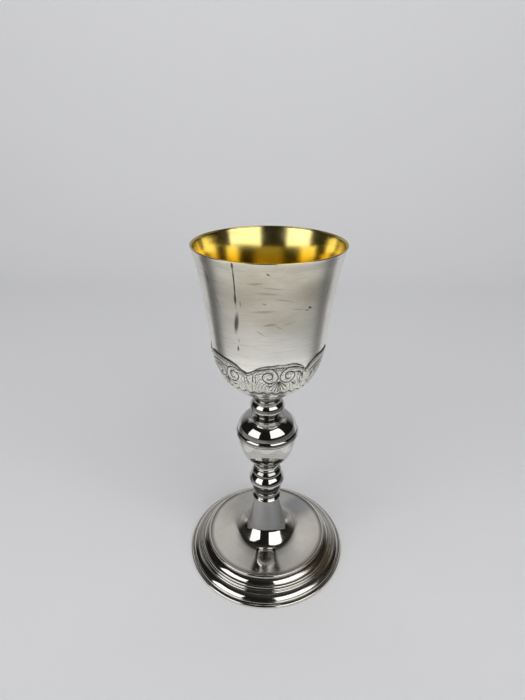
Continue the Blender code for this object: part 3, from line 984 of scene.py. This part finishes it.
foot = {
    "columns": 256,
    "trumpet": [(8.6, 49.85), (8.8, 48.5), (9.15, 45.5), (10.15, 40.0), (11.3, 35.0), (12.4, 30.8),
                (13.1, 28.4), (13.8, 26.4), (14.45, 25.0), (15.3, 23.7), (16.5, 22.2), (18.0, 20.7),
                (19.5, 19.4), (20.9, 18.3), (22.0, 17.6), (23.2, 17.15), (24.8, 16.75), (26.6, 16.42),
                (28.8, 16.07)],
    "plate": [(31.0, 15.77), (36.0, 15.17), (40.0, 14.75), (43.2, 14.45)],
    "plateLip": [(43.35, 14.45), (43.7, 14.7), (44.2, 14.75), (44.7, 14.5), (45.0, 14.0), (45.1, 13.2)],
    "upperOvolo": (41.65, 7.46, 7.45, 5.85, 62, 28, 18),
    "steps": [
        (48.75, 8.95, 1.1, 1.0, 82, 12, 8),
        (49.8, 7.5, 1.05, 1.0, 80, 12, 8),
        (51.1, 6.3, 1.0, 0.95, 80, 22, 8),
    ],
    "ledge": [(52.1, 6.55), (52.6, 6.4)],
    "lowerOvolo": (50.6, 1.7, 6.3, 4.98, 72, 28, 18),
    "lowerStep": (56.1, 2.9, 0.9, 0.9, 78, 15, 8),
    "lowerLedge": [(57.05, 2.95), (57.3, 2.65), (57.9, 2.48)],
    "flange": (57.97, 1.25, 1.21, 1.2, 82, -20, 10),
    "flangeFoot": [(59.05, 0.2), (58.85, 0.0)],
    "underside": [(56.3, 0.0), (56.0, 0.3), (55.3, 1.7), (53.4, 3.4), (51.0, 4.9), (48.9, 6.4), (47.6, 8.0),
                  (46.2, 9.7), (44.6, 11.3), (43.0, 12.3), (40.0, 12.85)],
    "sheet": 0.9,
    "capLevel": 46.0,
    # a grey film, a painted dim reflection, covers the trumpet down to this level at the front and, by this
    # much, lower behind, as far out as this on either side, with its middle tone and how much that grows to
    # the right, as painted shade
    "dimReflectionEnd": 26.2,
    "dimReflectionDrop": 8.6,
    "dimReflectionReach": 14.6,
    "dimReflectionTone": (0.79, 0.19),
    "cloud": ((35, 35, 35), 5.0, 0.6),
    "smear": ((60, 28, 40), 4.0, 0.55),
    "dull": (0.04, 0.09),
    "flatDull": (0.05, 0.16),
    "silver": ((0.72, 0.69, 0.635, 1), (0.90, 0.88, 0.835, 1)),
    "paintedDimReflection": (0.27, 0.275, 0.285, 1),
    "smudged": (0.47, 0.47, 0.50, 1),
    "tarnishAndShade": (0.30, 0.21, 0.10, 1),
    "oldPolishAndShade": (0.05, 0.04, 0.028, 1),
    # degrees round from the front, distance from the axis, width round, width outwards, depth of tone
    # the entries 17 to 19.5 mm out are painted shade round the foot of the bell; those 50 mm out are stains
    # on the mouldings
    "stainsAndShade": [
        (58.0, 50.0, 30.0, 9.0, 1.0),
        (-95.0, 51.0, 40.0, 6.0, 0.35),
        (160.0, 50.0, 35.0, 7.0, 0.6),
        (64.0, 19.5, 26.0, 4.0, 1.0),
        (-64.0, 19.5, 26.0, 4.0, 1.0),
        (103.0, 18.5, 22.0, 4.5, 0.85),
        (-103.0, 18.5, 22.0, 4.5, 0.85),
        (180.0, 17.0, 60.0, 4.0, 0.7),
    ],
    "smudge": ((0.026, 0.022, 0.015), (0.020, 0.013, 0.03), 40),
}


def footOutline():
    trumpet = curvePoints(foot["trumpet"], 5)
    outline = [(0.0, foot["trumpet"][0][1])] + trumpet + foot["plate"] + curvePoints(foot["plateLip"], 4)
    outline += arcPoints(*foot["upperOvolo"])
    for step in foot["steps"]:
        outline += arcPoints(*step)
    outline += foot["ledge"] + arcPoints(*foot["lowerOvolo"]) + arcPoints(*foot["lowerStep"])
    outline += foot["lowerLedge"] + arcPoints(*foot["flange"]) + foot["flangeFoot"]
    outline += curvePoints(foot["underside"], 3)
    climb = [point for point in offsetPoints(trumpet, foot["sheet"])[::-1] if point[1] < foot["capLevel"]]
    return outline + climb + [(climb[-1][0], foot["capLevel"]), (0.0, foot["capLevel"])]


def clouded():
    material, tree, shader = startMaterial("cloudedSilver")
    cloud = spotNoise(tree, *foot["cloud"])
    smear = spotNoise(tree, *foot["smear"])
    colour = rampOf(tree, cloud, *foot["silver"])
    spot = softSpot(tree, objectPlace(tree), *foot["smudge"])
    flat = attributeOf(tree, "flatTop")
    dimmed = mathOf(tree, "MULTIPLY", rangeOf(tree, spot, 0, 0.5, 0, 0.75), flat)
    colour = mixColours(tree, dimmed, colour, foot["smudged"])
    # the grey film on the trumpet is a painted dim reflection, and less metallic
    paintedDimReflection = attributeOf(tree, "paintedDimReflection")
    colour = mixColours(tree, paintedDimReflection, colour, foot["paintedDimReflection"])
    tree.links.new(rangeOf(tree, paintedDimReflection, 0, 1, 1, 0.25), shader.inputs["Metallic"])
    # old polish and painted shade in the hollows
    grimeAndShade = rangeOf(tree, attributeOf(tree, "grimeAndShade"), 0.1, 0.8, 0, 0.9)
    # stains on the mouldings, and painted shade round the foot of the bell
    stainAndShade = attributeOf(tree, "stainAndShade")
    patch = mathOf(tree, "MULTIPLY", stainAndShade, rangeOf(tree, cloud, 0.4, 0.62, 0.25, 0.9))
    colour = mixColours(tree, patch, colour, foot["tarnishAndShade"])
    colour = mixColours(tree, grimeAndShade, colour, foot["oldPolishAndShade"])
    tree.links.new(colour, shader.inputs["Base Color"])
    smooth = rangeOf(tree, cloud, 0.3, 0.7, *foot["dull"])
    rough = rangeOf(tree, smear, 0.42, 0.68, *foot["flatDull"])
    blend = addNode(tree, "ShaderNodeMix", data_type="FLOAT")
    tree.links.new(flat, blend.inputs[0])
    tree.links.new(smooth, blend.inputs[2])
    tree.links.new(rough, blend.inputs[3])
    cover = mathOf(tree, "MAXIMUM", mathOf(tree, "MAXIMUM", grimeAndShade, stainAndShade), paintedDimReflection)
    dull = mathOf(tree, "ADD", blend.outputs[0], mathOf(tree, "MULTIPLY", cover, 0.22))
    tree.links.new(dull, shader.inputs["Roughness"])
    return material


def makeFoot():
    outline = footOutline()
    piece = turnPiece("mouldedFoot", outline, foot["columns"])
    places = pointsOf(piece)
    radius = np.hypot(places[:, 0], places[:, 1]) / mm
    level = places[:, 2] / mm
    angles = anglesOf(piece)
    flat = np.clip((radius - 22) / 5, 0, 1) * (radius < 43.5) * (level > 13.5)
    paintPoints(piece, "flatTop", flat)
    # the trumpet's grey film is a painted dim reflection, heavier to the right as painted shade
    turn = np.radians(angles)
    end = foot["dimReflectionEnd"] - foot["dimReflectionDrop"] * (1 - np.cos(turn))
    middleTone, growth = foot["dimReflectionTone"]
    paintedDimReflection = (middleTone + growth * np.sin(turn)) * np.clip((level - end) / 0.5, 0, 1) * (radius < 17)
    aside = radius * np.abs(np.sin(turn))
    paintPoints(piece, "paintedDimReflection", paintedDimReflection * np.clip((foot["dimReflectionReach"] - aside) / 0.6, 0, 1))
    # stains on the mouldings, and painted shade round the foot of the bell
    stainAndShade = np.zeros(len(places))
    for around, out, wide, deep, tone in foot["stainsAndShade"]:
        turn = (angles - around + 180) % 360 - 180
        stainAndShade = np.maximum(stainAndShade, tone * np.exp(-(turn / wide) ** 2 - ((radius - out) / deep) ** 2))
    paintPoints(piece, "stainAndShade", stainAndShade)
    # darker in the hollows: partly old polish, partly painted shade
    paintPoints(piece, "grimeAndShade", grimeAndShadeOf(piece, outline, 0.8, 0.3))
    useMaterials(piece, clouded())
    standFor(piece, "foot")


makeFoot()
